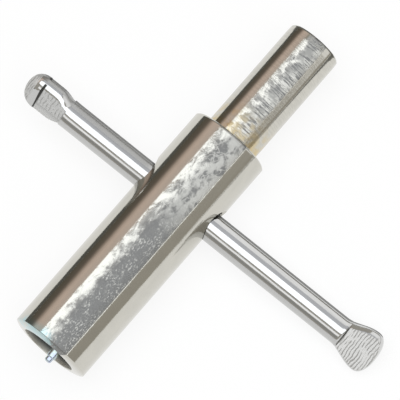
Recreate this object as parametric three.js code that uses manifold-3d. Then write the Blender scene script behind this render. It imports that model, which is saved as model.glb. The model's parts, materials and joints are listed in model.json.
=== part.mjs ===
// T-handle socket key: a round barrel with a socket bore, a shank pressed into its upper end,
// a sliding T-bar through both, and a sprung locating pin in the socket.
// Millimetres, +Z up. The key lies on a bench: the barrel along X with its mouth at the low end,
// the T-bar across it, and the pad of the longer arm touching the bench.

import * as THREE from "three";
import { mergeVertices } from "three/addons/utils/BufferGeometryUtils.js";
import Module from "manifold-3d";

const wasm = await Module();
wasm.setup();

// Play between pieces
const pressPlay = 0.15; // radial play of a pressed-in piece in its bore
const runningPlay = 0.25; // radial play of a sliding piece in its guide
const seatPlay = 0.3; // gap where a loose piece rests on its seat

// Barrel
const barrelDiameter = 29.2;
const barrelLength = 93.2; // from the mouth's land to the top face
const barrelTopChamfer = 0.6;
const noseHeight = 0.95; // how far the mouth stands out past the barrel's lower edge
const mouthLand = 0.8; // width of the flat ring round the mouth
const socketDepth = 24;

// Shank
const shankDiameter = 20;
const shankStickOut = 44.1; // length of the stub above the barrel
const shankChamfer = 0.6;
const shankLeadLength = 2.7; // of the slight taper turned on the stub's end
const shankLead = 0.15; // how much smaller its radius is at the end of the taper

// Cross hole
const crossHeight = 66.35; // of the T-bar's axis above the mouth
const crossHoleDiameter = 12.8;
const crossSkewDegrees = 1.8; // how far off square the hole was drilled, the longer arm towards the shank

// T-bar
const barDiameter = 10;
const longArm = 84.4; // from the barrel's axis to the tip
const shortArm = 64;
const dieStep = 0.4; // length of the step that the pressing die leaves at a pad's root
const flareCurve = 1.25; // above 1 a pad widens more slowly at its root
const tipRoundness = 2.3; // of a pad's tip in plan, where 2 is an ellipse and more is boxier
const tipShares = [0.3, 0.55, 0.75, 0.88, 0.96, 0.99]; // places of the sections that round a tip off

// Pad on the longer arm, flared like a fishtail
const longPadLength = 13.3;
const longPadRootWidth = 10.8;
const longPadWidth = 16;
const longPadRootThickness = 6.2;
const longPadTipThickness = 4.6;
const longPadRound = 4.4; // length of its rounded end
const longPadRollDegrees = 31; // turn of its face from straight up towards the mouth

// Pad on the shorter arm, with a less pressed lip at its tip
const shortPadLength = 16.6;
const shortPadRootWidth = 12.6;
const shortPadWidth = 15.8;
const shortPadThickness = 5.5;
const shortPadFlare = 4; // length over which it widens
const shortLipLength = 5.9;
const shortLipThickness = 7;
const shortPadRollDegrees = 68;

// Locating pin
const pinOffset = 2.2; // of the pin's axis from the barrel's, towards the longer arm
const pinDiameter = 3.3;
const pinReach = 3.3; // how far its tip stands out of the mouth
const pinNoseDiameter = 2.5;
const pinNoseLength = 1.7;
const pinNoseRound = 0.5;
const pinCollarDiameter = 6.4;
const pinCollarLength = 2.4;
const pinTailDiameter = 2.4;
const pinTailLength = 5;

// Pin guide and spring
const guideDiameter = 10;
const guideLength = 8;
const springDiameter = 5.8;
const springWire = 0.8;
const springLength = 14;
const springTurns = 8;

// Facets of the round pieces
const barrelFacets = 72;
const barFacets = 48;
const smallFacets = 32;
const wireSides = 5;
const stepsPerTurn = 8;
const flareSteps = 5; // sections along a pad's flare

const cutOverrun = 1; // how far a cutter runs past the face it starts on

// Places worked out from the sizes, along the barrel's axis from the mouth
const barrelRadius = barrelDiameter / 2;
const shankRadius = shankDiameter / 2;
const socketRadius = shankRadius + pressPlay;
const shankTop = barrelLength + shankStickOut;
const guideTop = socketDepth + guideLength;
const guideBoreTop = guideTop + pressPlay;
const collarStart = guideTop + seatPlay;
const collarEnd = collarStart + pinCollarLength;
const springStart = collarEnd + seatPlay;
const springEnd = springStart + springLength;
const springBoreTop = springEnd + seatPlay;
const springBoreRadius = pinCollarDiameter / 2 + runningPlay;

// The bar lies against the mouth side of its hole.
const barRadius = barDiameter / 2;
const crossHoleRadius = crossHoleDiameter / 2;
const holeHeight = crossHeight + crossHoleRadius - barRadius - seatPlay;
const crossSkew = THREE.MathUtils.degToRad(crossSkewDegrees);

const steel = { roughness: 0.28, metalness: 1 };

// A closed three.js geometry as a solid for joining and cutting.
function solidFrom(geometry) {
  const bare = geometry.clone();
  bare.deleteAttribute("normal");
  bare.deleteAttribute("uv");
  const merged = mergeVertices(bare);
  const corners = merged.index.array;
  const whole = [];
  for (let i = 0; i < corners.length; i += 3) {
    const [a, b, c] = [corners[i], corners[i + 1], corners[i + 2]];
    if (a !== b && b !== c && c !== a) whole.push(a, b, c);
  }
  return new wasm.Manifold(
    new wasm.Mesh({
      numProp: 3,
      vertProperties: merged.attributes.position.array,
      triVerts: new Uint32Array(whole),
    }),
  );
}

// A solid back as a three.js geometry.
function geometryFrom(solid) {
  const mesh = solid.getMesh();
  const geometry = new THREE.BufferGeometry();
  geometry.setAttribute("position", new THREE.BufferAttribute(mesh.vertProperties, 3));
  geometry.setIndex(new THREE.BufferAttribute(mesh.triVerts, 1));
  geometry.computeVertexNormals();
  return geometry;
}

// A turned piece along X from [along, radius] points, with a flat facet underneath.
function turned(points, facets) {
  const profile = points.map(([along, radius]) => new THREE.Vector2(radius, along));
  const geometry = new THREE.LatheGeometry(profile, facets, Math.PI / facets);
  return geometry.rotateZ(-Math.PI / 2);
}

function namedMesh(name, geometry, color, finish = steel) {
  const mesh = new THREE.Mesh(geometry, new THREE.MeshStandardMaterial({ color, ...finish }));
  mesh.name = name;
  return mesh;
}

// Cross-section of the bar: an ellipse, pressed flat from both sides to a thickness and turned by roll.
// The points lie at fixed angles, so that neighbouring sections join without a twist.
function barSection({ along, width, height, thickness, roll }) {
  const points = [];
  for (let i = 0; i < barFacets; i++) {
    const angle = (2 * Math.PI * (i + 0.5)) / barFacets;
    const across = Math.cos(angle - roll);
    const through = Math.sin(angle - roll);
    const round = 1 / Math.hypot(across / (width / 2), through / (height / 2));
    const radius = Math.min(round, thickness / 2 / Math.abs(through));
    points.push(new THREE.Vector3(radius * Math.cos(angle), radius * Math.sin(angle), along));
  }
  return points;
}

// Closed skin over a row of sections, each end closed by a fan round its middle.
function loft(sections) {
  const sides = sections[0].length;
  const points = sections.flat();
  const faces = [];
  for (let s = 0; s + 1 < sections.length; s++) {
    for (let i = 0; i < sides; i++) {
      const next = (i + 1) % sides;
      const low = s * sides;
      const high = low + sides;
      faces.push(low + i, low + next, high + next, low + i, high + next, high + i);
    }
  }
  const middle = (ring) => ring.reduce((sum, p) => sum.add(p), new THREE.Vector3()).divideScalar(sides);
  const first = points.push(middle(sections[0])) - 1;
  const last = points.push(middle(sections.at(-1))) - 1;
  const lastRing = (sections.length - 1) * sides;
  for (let i = 0; i < sides; i++) {
    const next = (i + 1) % sides;
    faces.push(first, next, i, last, lastRing + i, lastRing + next);
  }
  return new THREE.BufferGeometry().setFromPoints(points).setIndex(faces);
}

const roundBar = { width: barDiameter, height: barDiameter, thickness: barDiameter, roll: 0 };

// Share of its full width that a pad has at a share of its flare's length.
function flareAt(share) {
  return Math.sin((share * Math.PI) / 2) ** flareCurve;
}

// Share of its full size that a rounded tip has at a share of its length.
function tipAt(share) {
  return (1 - share ** tipRoundness) ** (1 / tipRoundness);
}

// Sections of the fishtail pad, from the round bar outwards.
function longPadSections() {
  const { degToRad, lerp } = THREE.MathUtils;
  const roll = degToRad(longPadRollDegrees);
  const root = longArm - longPadLength;
  const widest = longArm - longPadRound;
  const sections = [{ along: root, ...roundBar }];
  for (let i = 0; i <= flareSteps; i++) {
    const share = i / flareSteps;
    sections.push({
      along: lerp(root + dieStep, widest, share),
      width: lerp(longPadRootWidth, longPadWidth, flareAt(share)),
      height: barDiameter,
      thickness: lerp(longPadRootThickness, longPadTipThickness, share),
      roll,
    });
  }
  for (const share of tipShares) {
    sections.push({
      along: widest + longPadRound * share,
      width: longPadWidth * tipAt(share),
      height: barDiameter * tipAt(share),
      thickness: longPadTipThickness,
      roll,
    });
  }
  return sections;
}

// Sections of the lipped pad, from the round bar outwards.
function shortPadSections() {
  const { degToRad, lerp } = THREE.MathUtils;
  const roll = degToRad(shortPadRollDegrees);
  const root = shortArm - shortPadLength;
  const lip = shortArm - shortLipLength;
  const pressed = { height: barDiameter, thickness: shortPadThickness, roll };
  const sections = [{ along: root, ...roundBar }];
  for (let i = 0; i <= flareSteps; i++) {
    const share = i / flareSteps;
    sections.push({
      along: lerp(root + dieStep, root + shortPadFlare, share),
      width: lerp(shortPadRootWidth, shortPadWidth, flareAt(share)),
      ...pressed,
    });
  }
  sections.push({ along: lip - dieStep, width: shortPadWidth, ...pressed });
  for (const share of [0, ...tipShares]) {
    sections.push({
      along: lip + shortLipLength * share,
      width: shortPadWidth * tipAt(share),
      height: barDiameter * tipAt(share),
      thickness: shortLipThickness,
      roll,
    });
  }
  return sections;
}

// The bar along its own Z, the longer arm at +Z, its X towards the shank and its Y up.
function barGeometry() {
  const longSide = longPadSections();
  const shortSide = shortPadSections().map((section) => ({ ...section, along: -section.along }));
  const sections = [...shortSide.reverse(), ...longSide];
  return loft(sections.map(barSection)).rotateX(Math.PI / 2);
}

// Lean of the key about the barrel's axis at which the longer arm's pad meets the bench.
function benchLean(bar) {
  const bench = -barrelRadius * Math.cos(Math.PI / barrelFacets);
  const skewed = bar.clone().rotateZ(crossSkew).getAttribute("position");
  const lowest = (lean) => {
    let low = Infinity;
    for (let i = 0; i < skewed.count; i++) {
      low = Math.min(low, skewed.getY(i) * Math.sin(lean) + skewed.getZ(i) * Math.cos(lean));
    }
    return low;
  };
  const halvings = 40;
  let least = 0;
  let most = Math.PI / 3;
  for (let i = 0; i < halvings; i++) {
    const lean = (least + most) / 2;
    if (lowest(lean) > bench) least = lean;
    else most = lean;
  }
  return least;
}

// Cutter for the cross hole, set as the bar is set.
function crossHoleCutter(lean) {
  const half = barrelDiameter;
  const points = [
    [-half, 0],
    [-half, crossHoleRadius],
    [half, crossHoleRadius],
    [half, 0],
  ];
  const drill = turned(points, smallFacets).rotateZ(-Math.PI / 2 + crossSkew).rotateX(lean);
  return solidFrom(drill.translate(holeHeight, 0, 0));
}

function barrelGeometry(cutter) {
  const sleeve = turned(
    [
      [0, socketRadius],
      [0, socketRadius + mouthLand],
      [noseHeight, barrelRadius],
      [barrelLength - barrelTopChamfer, barrelRadius],
      [barrelLength, barrelRadius - barrelTopChamfer],
      [barrelLength, socketRadius],
      [0, socketRadius],
    ],
    barrelFacets,
  );
  return geometryFrom(solidFrom(sleeve).subtract(cutter));
}

// A bore on the pin's axis, for cutting out of the shank.
function pinAxisBore(from, to, radius, lean) {
  const points = [
    [from, 0],
    [from, radius],
    [to, radius],
    [to, 0],
  ];
  return solidFrom(turned(points, smallFacets).translate(0, -pinOffset, 0).rotateX(lean));
}

function shankGeometry(cutter, lean) {
  const rod = turned(
    [
      [socketDepth, 0],
      [socketDepth, shankRadius],
      [shankTop - shankLeadLength, shankRadius],
      [shankTop - shankChamfer, shankRadius - shankLead],
      [shankTop, shankRadius - shankLead - shankChamfer],
      [shankTop, 0],
    ],
    barrelFacets,
  );
  const openEnd = socketDepth - cutOverrun;
  const guideBore = pinAxisBore(openEnd, guideBoreTop, guideDiameter / 2 + pressPlay, lean);
  const springBore = pinAxisBore(openEnd, springBoreTop, springBoreRadius, lean);
  return geometryFrom(solidFrom(rod).subtract(cutter).subtract(guideBore).subtract(springBore));
}

function guideGeometry() {
  const bore = pinDiameter / 2 + runningPlay;
  const bush = turned(
    [
      [socketDepth, bore],
      [socketDepth, guideDiameter / 2],
      [guideTop, guideDiameter / 2],
      [guideTop, bore],
      [socketDepth, bore],
    ],
    smallFacets,
  );
  return geometryFrom(solidFrom(bush));
}

function pinGeometry() {
  const tip = -pinReach;
  const shoulder = tip + pinNoseLength;
  const pin = turned(
    [
      [tip, 0],
      [tip, pinNoseDiameter / 2 - pinNoseRound],
      [tip + pinNoseRound, pinNoseDiameter / 2],
      [shoulder, pinNoseDiameter / 2],
      [shoulder, pinDiameter / 2],
      [collarStart, pinDiameter / 2],
      [collarStart, pinCollarDiameter / 2],
      [collarEnd, pinCollarDiameter / 2],
      [collarEnd, pinTailDiameter / 2],
      [collarEnd + pinTailLength, pinTailDiameter / 2],
      [collarEnd + pinTailLength, 0],
    ],
    smallFacets,
  );
  return geometryFrom(solidFrom(pin));
}

// Coil spring along X: one wire of wireSides sides swept round a helix.
function springGeometry() {
  const coilRadius = (springDiameter - springWire) / 2;
  const wireRadius = springWire / 2;
  const rise = (springLength - springWire) / springTurns;
  const steps = springTurns * stepsPerTurn;
  const centres = [];
  const sections = [];
  for (let s = 0; s <= steps; s++) {
    const turn = (2 * Math.PI * s) / stepsPerTurn;
    const outward = new THREE.Vector3(0, Math.cos(turn), Math.sin(turn));
    const forward = new THREE.Vector3(rise / (2 * Math.PI * coilRadius), -Math.sin(turn), Math.cos(turn));
    const upward = new THREE.Vector3().crossVectors(forward.normalize(), outward);
    const centre = outward.clone().multiplyScalar(coilRadius);
    centre.x = springStart + wireRadius + (rise * s) / stepsPerTurn;
    centres.push(centre);
    const section = [];
    for (let i = 0; i < wireSides; i++) {
      const angle = (2 * Math.PI * i) / wireSides;
      const point = centre.clone().addScaledVector(outward, wireRadius * Math.cos(angle));
      section.push(point.addScaledVector(upward, wireRadius * Math.sin(angle)));
    }
    sections.push(section);
  }
  let least = Infinity;
  centres.forEach((a, i) => {
    centres.slice(i + stepsPerTurn - 1).forEach((b) => (least = Math.min(least, a.distanceTo(b))));
  });
  console.log(`pin_spring: least gap between turns ${(least - springWire).toFixed(2)} mm`);
  return loft(sections);
}

const bar = barGeometry();
const lean = benchLean(bar);
const cutter = crossHoleCutter(lean);

const key = new THREE.Group();
key.add(namedMesh("barrel", barrelGeometry(cutter), 0xb4afa6));
key.add(namedMesh("shank", shankGeometry(cutter, lean), 0xb9b1a4));

const barMesh = namedMesh("t_bar", bar, 0xc4c0b8);
barMesh.position.set(crossHeight, 0, 0);
barMesh.rotation.set(lean, 0, crossSkew);
key.add(barMesh);

const pinAxis = new THREE.Group();
pinAxis.rotation.x = lean;
const pinPieces = new THREE.Group();
pinPieces.position.y = -pinOffset;
pinPieces.add(namedMesh("pin_guide", guideGeometry(), 0xa8a59e));
pinPieces.add(namedMesh("locating_pin", pinGeometry(), 0xc8d4d2));
pinPieces.add(namedMesh("pin_spring", springGeometry(), 0x8d8f92, { roughness: 0.4, metalness: 1 }));
pinAxis.add(pinPieces);
key.add(pinAxis);

// The origin lies on the bench, under the middle of the key.
const reach = new THREE.Box3().setFromObject(key, true);
const middle = reach.getCenter(new THREE.Vector3());
key.position.set(-middle.x, -middle.y, -reach.min.z);

const socketKey = new THREE.Group();
socketKey.add(key);

export default socketKey;
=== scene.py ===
"""T-handle socket key: turned and pressed shapes with a worn plated finish, in a plain white studio."""

import json
import math
from collections import namedtuple

import bpy
from bpy.props import FloatProperty, FloatVectorProperty, PointerProperty
from mathutils import Matrix, Vector, noise


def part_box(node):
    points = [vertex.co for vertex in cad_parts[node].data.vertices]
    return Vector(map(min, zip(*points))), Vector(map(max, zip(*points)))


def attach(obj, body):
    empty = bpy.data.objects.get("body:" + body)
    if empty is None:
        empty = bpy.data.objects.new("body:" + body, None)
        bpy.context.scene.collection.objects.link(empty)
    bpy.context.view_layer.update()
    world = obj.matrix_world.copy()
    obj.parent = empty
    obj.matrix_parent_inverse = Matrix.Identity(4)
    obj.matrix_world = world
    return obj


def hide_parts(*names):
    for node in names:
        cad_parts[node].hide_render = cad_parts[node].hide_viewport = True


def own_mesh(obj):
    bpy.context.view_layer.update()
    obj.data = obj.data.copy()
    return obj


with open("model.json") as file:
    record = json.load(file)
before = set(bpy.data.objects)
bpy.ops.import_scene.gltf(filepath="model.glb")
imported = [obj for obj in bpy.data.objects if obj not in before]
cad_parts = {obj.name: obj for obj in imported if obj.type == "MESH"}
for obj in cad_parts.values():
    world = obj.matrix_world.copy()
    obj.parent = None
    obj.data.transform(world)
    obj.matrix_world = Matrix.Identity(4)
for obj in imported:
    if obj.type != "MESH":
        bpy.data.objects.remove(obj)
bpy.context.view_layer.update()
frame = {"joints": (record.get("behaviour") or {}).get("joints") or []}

bl_info = {
    "name": "T-handle socket key",
    "version": (1, 0, 0),
    "blender": (4, 5, 0),
    "location": "View3D > Sidebar > Socket key",
    "description": "Builds a plated T-handle socket key around its packed solids",
    "category": "Object",
}

MM = 0.001

# Boxes of the solids that the pieces stand for.
BARREL_LOW, BARREL_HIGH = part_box("barrel")
SHANK_LOW, SHANK_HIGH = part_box("shank")
GUIDE_LOW, GUIDE_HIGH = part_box("pin_guide")
PIN_LOW, PIN_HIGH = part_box("locating_pin")
SPRING_LOW, SPRING_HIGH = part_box("pin_spring")

# Axes of the key: the barrel's along X, the pin's beside it, and the T-bar's from its slide joint.
MOUTH = BARREL_LOW.x
ALONG = Vector((1, 0, 0))
AXIS = ((BARREL_LOW.y + BARREL_HIGH.y) / 2, (BARREL_LOW.z + BARREL_HIGH.z) / 2)
PIN_AXIS = ((GUIDE_LOW.y + GUIDE_HIGH.y) / 2, (GUIDE_LOW.z + GUIDE_HIGH.z) / 2)
JOINTS = {joint["name"]: joint for joint in frame["joints"]}
BAR_ALONG = Vector(JOINTS["t_bar_slide"]["axis"]).normalized()
LEAN = math.atan2(-BAR_ALONG.z, -BAR_ALONG.y)
BAR_UP = Vector((0, -math.sin(LEAN), math.cos(LEAN)))
BAR_ACROSS = BAR_UP.cross(BAR_ALONG)
BAR_TURN = Matrix((BAR_ALONG, BAR_ACROSS, BAR_UP)).transposed()

# Fineness of the meshes. Support rings beside an edge keep the shading of the long faces even.
MERGE_DISTANCE = 1e-6
SMOOTH_ANGLE = math.radians(32)
BARREL_SEGMENTS = 192
SHANK_SEGMENTS = 160
BAR_SEGMENTS = 96
HOLE_SEGMENTS = 96
SMALL_SEGMENTS = 64
WIRE_SEGMENTS = 12
COIL_STEPS = 36
BARREL_RINGS = 15
SHANK_RINGS = 16
SUPPORT = 0.4 * MM
EDGE_STEPS = 2
BARREL_EDGE = 0.15 * MM
SHANK_EDGE = 0.12 * MM
PIN_EDGE = 0.08 * MM

# Barrel, shank, pin and spring. A crown point is a share of the nose's height and of the rim's width.
CROWN = ((0.0, 0.0), (0.22, 0.45), (0.58, 0.8), (1.0, 1.0))
LEAD_EASE = 0.2
DRILL_LENGTH = 4
GUIDE_END_ROOM = 0.15 * MM
GUIDE_SIDE_ROOM = 0.2 * MM
SPRING_END_ROOM = 0.3 * MM
COLLAR_SIDE_ROOM = 0.25 * MM
PIN_TIP = ((0.0, 0.45), (0.12 * MM, 0.72), (0.35 * MM, 0.93), (0.7 * MM, 1.0))
PIN_SHOULDER = 0.25 * MM
SPRING_TURNS = 8

# T-bar: blanks of its arms. The swell is the stretch before a pad where the bar starts to widen.
ARM_START = 6 * MM
ARM_SWELL = 2.5 * MM
LONG_SWELL_STEPS = 10
SHORT_SWELL_STEPS = 6
LONG_DROP = 2.0 * MM
FLARE_STEPS = 16
FLARE_CURVE = 1.25
TIP_ROUNDNESS = 2.3
TIP_SHARES = (0.15, 0.3, 0.43, 0.55, 0.66, 0.75, 0.82, 0.88, 0.93, 0.97, 0.99)

# T-bar: dies that press the pads. Wander scales are per metre, along and across the bar.
DIE_ACROSS = 22 * MM
DIE_DEEP = 9 * MM
DIE_PITCH = 0.28 * MM
DIE_PAST = 2 * MM
LONG_PAD_SEED = 1.0
SHORT_PAD_SEED = 2.0
LIP_SEED = 3.0
BACK_SEED = 11.0
LIP_TAPER = 0.45
LIP_BULGE = 0.9 * MM
FORGED_PITCH = 1.15 * MM
FORGED_BOW = 14.0
SLOW_WANDER = (160, 110)
SLOW_SHARE = 0.9
FAST_WANDER = (420, 300)
FAST_SHARE = 0.35
FAST_SEED = 7.0
DEPTH_WANDER = (300, 200)
DEPTH_SEED = 3.0
EVEN_DEPTH = 0.052 * MM
UNEVEN_DEPTH = 0.048 * MM

# Plating. Scales are per metre and bands are shares of the radius across. Heights are above the mouth, on the
# stub above the barrel. A relief is its strength and its depth.
BARREL_CLOUDS = 280.0
BARREL_STREAK = (0.6, 1.0, 1.0)
BARREL_BAND = ((-0.41, -0.04), (0.372, 0.386))
BARREL_RAGGED = 0.22
BARREL_RELIEF = (0.35, 0.1 * MM)
FRONT = (0.0, 0.4)
SPECK_SHARE = 0.45
SCRIBBLE_SCALE = 260.0
UPPER_WEAR = (46 * MM, 70 * MM)
PATCH_SHARE = 0.5
CURL_SHARE = 0.5
STAIN_TURN = -38
STAIN_SPREAD = (40, 15)
STAIN_HEIGHT = (1.2 * MM, 4.5 * MM)
BORE_SKIN = (0.1 * MM, 0.3 * MM)
BORE_START = 0.3 * MM
BORE_SHADE = 3.0 * MM
BORE_ROUGHER = 0.5
STUB_CLOUDS = 300.0
STUB_BAND = ((-0.36, -0.06), (0.372, 0.39))
STUB_RAGGED = 0.3
STUB_RELIEF = (0.3, 0.08 * MM)
STUB_ROUGHNESS = (0.1, 0.48)
EVEN_HAZE = 0.32
CLOUDED_HAZE = 0.4
RING_PITCH = 1900.0
RING_SPREAD = 200.0
FAINT_RINGS = 0.1
STRAW_FOOT = (0.5 * MM, 14 * MM)
STRAW_SHARE = 0.9
FAINT_WEAR = 0.06
POLISHED = 0.09
SCUFFED = 0.5

# Bar steel. Sides are cosines between the surface and the bar's across direction. The edge, back and
# shorter-arm shades, the pads' plain shade and their crease shade are painted shade.
BAR_CLOUDS = 330.0
DRAWN_LINES = (60.0, 1900.0, 1900.0)
DRAWN_SHARE = 0.12
PAINTED_EDGE_SHADE = (0.70, 0.82)
PAINTED_EDGE_SHADE_SHARE = 0.95
PAINTED_BACK_SHADE = (-0.78, -0.55)
PAINTED_BACK_SHADE_SHARE = 0.3
SHORT_ARM_SHADE_SIDE = (0.12, 0.42)
SHORT_ARM_SHADE_FROM = (-16 * MM, -10 * MM)
SHORT_ARM_SHADE_SHARE = 0.5
BAR_RELIEF = (0.5, 0.06 * MM)
FLAT_FACING = (0.84, 0.93)
SIDE_FACING = (0.3, 0.45)
LONG_PAD_LINES = 300.0
SHORT_PAD_LINES = 250.0
PAD_LINE_SHARES = (0.14, 0.7)
PAD_MATT = 0.6
LEAST_METALLIC = 0.3
PAD_STEP = 0.02 * MM
SHORT_PAD_PLAIN = -2.3 * MM
PLAIN_FADE = 0.4 * MM
PLAIN_SHADE = 4.2 * MM
PLAIN_SHADE_SHARE = 0.55
CREASE_EDGE = (0.12 * MM, 0.3 * MM)
CREASE_SPAN = (-5 * MM, 6 * MM)
CREASE_WIDENS = 0.25 * MM
SHEARED_LENGTH = 3.2 * MM
SHEARED_FADE = 0.3 * MM
SHEARED_LINES = 420.0
SHEARED_LINE_SHARES = (0.15, 0.8)

# Inner steel and zinc.
ZINC_CLOUDS = 420.0
ZINC_ROUGHNESS = (0.08, 0.2)
SPRING_CLOUDS = 900.0
GUIDE_CLOUDS = 300.0
OILED_ROUGHNESS = (0.25, 0.42)

# Camera, lined up by the place where the T-bar crosses the barrel's axis, in pixels of the image.
PIXEL = MM / 3.0
IMAGE_SIZE = 400
CROSSING_AT = (178.3, 200.7)
CROSSING_HEIGHT = 66.5 * MM
AXIS_SLOPE = math.atan2(0.754, 0.657)
LENS = 600.0
SENSOR = 36.0
CLIP_END = 60.0

# Studio. A card's angles are in degrees across the barrel and along it, from the side that faces the camera.
FLOOR_SIZE = 40.0
FLOOR_COLOUR = (0.85, 0.85, 0.85, 1)
FLOOR_GLOW = 0.85
SURROUNDINGS = (0.42, 0.4, 0.36, 1)
WHITE = (1, 1, 1)
CARD_DISTANCE = 2.6
Card = namedtuple("Card", "name across along tint strength lights_floor")
CARDS = (
    Card("panel", (-48, 47), (-26.5, 15.5), (0.93, 0.96, 1.0), 1.88, True),
    Card("warm_card", (-101, -46.5), (-14, 40), WHITE, 1.0, False),
    Card("strip", (-40, 30), (-56, -41), WHITE, 1.2, False),
    Card("low_dark", (-40, 30), (-76, -63), (0.33, 0.33, 0.32), 1.0, False),
    Card("far_strip", (-40, 30), (47, 84), WHITE, 1.05, False),
    Card("far_grey", (-40, 30), (15.5, 47), (0.62, 0.63, 0.66), 1.0, False),
    Card("side_light", (31, 78), (12, 78), WHITE, 1.0, False),
)
WARM_STOPS = (
    (0.0, (0.12, 0.108, 0.085)),
    (0.30, (0.15, 0.128, 0.105)),
    (0.38, (0.21, 0.17, 0.145)),
    (0.46, (0.38, 0.31, 0.265)),
    (0.54, (0.60, 0.49, 0.43)),
    (0.66, (0.72, 0.59, 0.52)),
    (1.0, (0.65, 0.56, 0.51)),
)
Cloth = namedtuple("Cloth", "name low high tint")
CLOTHS = (
    Cloth("left_cloth", (-0.6, 0.13), (0.6, 2.6), (0.12, 0.12, 0.11)),
    Cloth("far_cloth", (0.085, -0.8), (2.6, 0.13), (0.2, 0.2, 0.19)),
)
CLOTH_HEIGHT = 0.3 * MM
LAMP_HEIGHT = 1.6
LAMP_SIZE = 1.6
LAMP_POWER = 12.0


# Settings


def length(name, description, millimetres):
    """A size property in metres, given in millimetres."""
    return FloatProperty(
        name=name, description=description, default=millimetres * MM, unit="LENGTH", precision=5
    )


def angle(name, description, degrees):
    """An angle property, given in degrees."""
    return FloatProperty(name=name, description=description, default=math.radians(degrees), subtype="ANGLE")


def colour(name, description, value):
    """A colour property with full alpha."""
    return FloatVectorProperty(
        name=name, description=description, default=(*value, 1.0), size=4, subtype="COLOR", min=0.0, max=1.0
    )


class KeySizes(bpy.types.PropertyGroup):
    """Sizes of the key's pieces."""

    barrel_diameter: length("Barrel diameter", "Outside of the barrel", 29.2)
    bore_diameter: length("Bore diameter", "Socket bore right through the barrel", 20.3)
    nose_height: length("Nose height", "How far the crowned mouth stands out", 0.95)
    mouth_land: length("Mouth land", "Width of the flat ring round the mouth", 0.8)
    top_chamfer: length("Top chamfer", "Chamfer on the barrel's upper edge", 0.6)
    shank_diameter: length("Shank diameter", "Rod pressed into the barrel", 20.0)
    lead_length: length("Lead length", "Slight taper on the stub's end", 2.7)
    lead_depth: length("Lead depth", "Loss of radius over the taper", 0.15)
    shank_chamfer: length("Shank chamfer", "Chamfer on the stub's end", 0.6)
    cross_height: length("Cross height", "T-bar's axis above the mouth", 66.35)
    hole_height: length("Hole height", "Cross hole's axis above the mouth", 67.45)
    hole_diameter: length("Hole diameter", "Cross hole through barrel and shank", 12.8)
    bar_diameter: length("Bar diameter", "Drawn bar of the T-handle", 10.0)
    long_arm: length("Long arm", "Barrel's axis to the tip of the longer arm", 84.4)
    long_pad: length("Long pad", "Pressed length of the longer arm", 13.3)
    long_pad_width: length("Long pad width", "Widest place of the fishtail", 16.0)
    long_pad_root: length("Long pad root", "Width where the fishtail starts", 10.8)
    long_pad_round: length("Long pad round", "Length of the fishtail's rounded end", 4.4)
    long_pad_thick: length("Long pad root thickness", "Left by the die at the root", 6.2)
    long_pad_thin: length("Long pad tip thickness", "Left by the die at the tip", 4.6)
    long_pad_roll: angle("Long pad roll", "Turn of the fishtail about the bar", 31)
    short_arm: length("Short arm", "Barrel's axis to the tip of the shorter arm", 64.0)
    short_pad: length("Short pad", "Pressed length of the shorter arm", 16.6)
    short_pad_width: length("Short pad width", "Widest place of the lipped pad", 15.8)
    short_pad_root: length("Short pad root", "Width where the lipped pad starts", 10.6)
    short_pad_flare: length("Short pad flare", "Length over which it widens", 5.5)
    short_pad_thick: length("Short pad thickness", "Left by the die", 5.5)
    lip_length: length("Lip length", "Less pressed end of the lipped pad", 5.9)
    lip_thick: length("Lip thickness", "Thickness of that end", 7.0)
    short_pad_roll: angle("Short pad roll", "Turn of the lipped pad about the bar", 68)
    pin_diameter: length("Pin diameter", "Locating pin in the socket", 3.3)
    pin_nose: length("Pin nose diameter", "Stepped end of the pin", 2.5)
    pin_nose_length: length("Pin nose length", "Length of that end", 1.7)
    pin_collar: length("Pin collar diameter", "Collar behind the guide", 6.4)
    pin_collar_length: length("Pin collar length", "Length of the collar", 2.4)
    pin_tail: length("Pin tail diameter", "Tail that carries the spring", 2.4)
    pin_tail_length: length("Pin tail length", "Length of the tail", 5.0)
    spring_diameter: length("Spring diameter", "Outside of the coil behind the pin", 5.8)
    spring_wire: length("Spring wire", "Thickness of its wire", 0.8)
    guide_chamfer: length("Guide chamfer", "Chamfer on the guide's edges", 0.4)
    guide_play: length("Guide play", "Room round the pin in its guide", 0.15)


class KeyFinish(bpy.types.PropertyGroup):
    """Colours of the key's finishes."""

    plating: colour("Plating", "Bright nickel plating", (0.60, 0.585, 0.53))
    # Its colour is also the dark of the bar's painted shade.
    worn: colour("Worn plating", "Where the plating is scuffed or scratched", (0.225, 0.225, 0.218))
    stain: colour("Mouth stain", "Blue-green cast at the mouth", (0.46, 0.60, 0.61))
    straw: colour("Straw cast", "Brown cast on the stub's foot", (0.62, 0.50, 0.28))
    # Colour of the painted shade deep in the socket.
    bore: colour("Bore", "Unplated inside of the socket", (0.09, 0.10, 0.10))
    bar: colour("Bar", "Bright drawn bar", (0.66, 0.66, 0.65))
    # Colour of the painted shade in the creases at the pads' steps.
    crease_shade: colour("Grime", "Dirt in the creases of the pads", (0.05, 0.05, 0.045))
    zinc_blue: colour("Zinc, blue", "Passivated zinc of the pin", (0.45, 0.50, 0.62))
    zinc_green: colour("Zinc, green", "Its green patches", (0.52, 0.62, 0.52))
    steel: colour("Inner steel", "Guide and spring", (0.45, 0.44, 0.42))
    steel_dark: colour("Inner steel, oiled", "Their darker patches", (0.26, 0.25, 0.24))


class KeyStudio(bpy.types.PropertyGroup):
    """How the key lies to the camera."""

    tilt: angle("Tilt", "Mouth end of the barrel towards the camera", 9.45)
    swing: angle("Swing", "Longer arm towards the camera", 4.0)


# Modelling steps


def deselect_all():
    """Leaves nothing selected, so that the next operator acts on the new piece alone."""
    bpy.ops.object.select_all(action="DESELECT")


def make_active(piece):
    """Makes one piece the only selected and active one."""
    deselect_all()
    piece.select_set(True)
    bpy.context.view_layer.objects.active = piece


def apply_place(piece):
    """Puts the object's place into its mesh."""
    make_active(piece)
    bpy.ops.object.transform_apply(location=True, rotation=True, scale=True)


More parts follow.
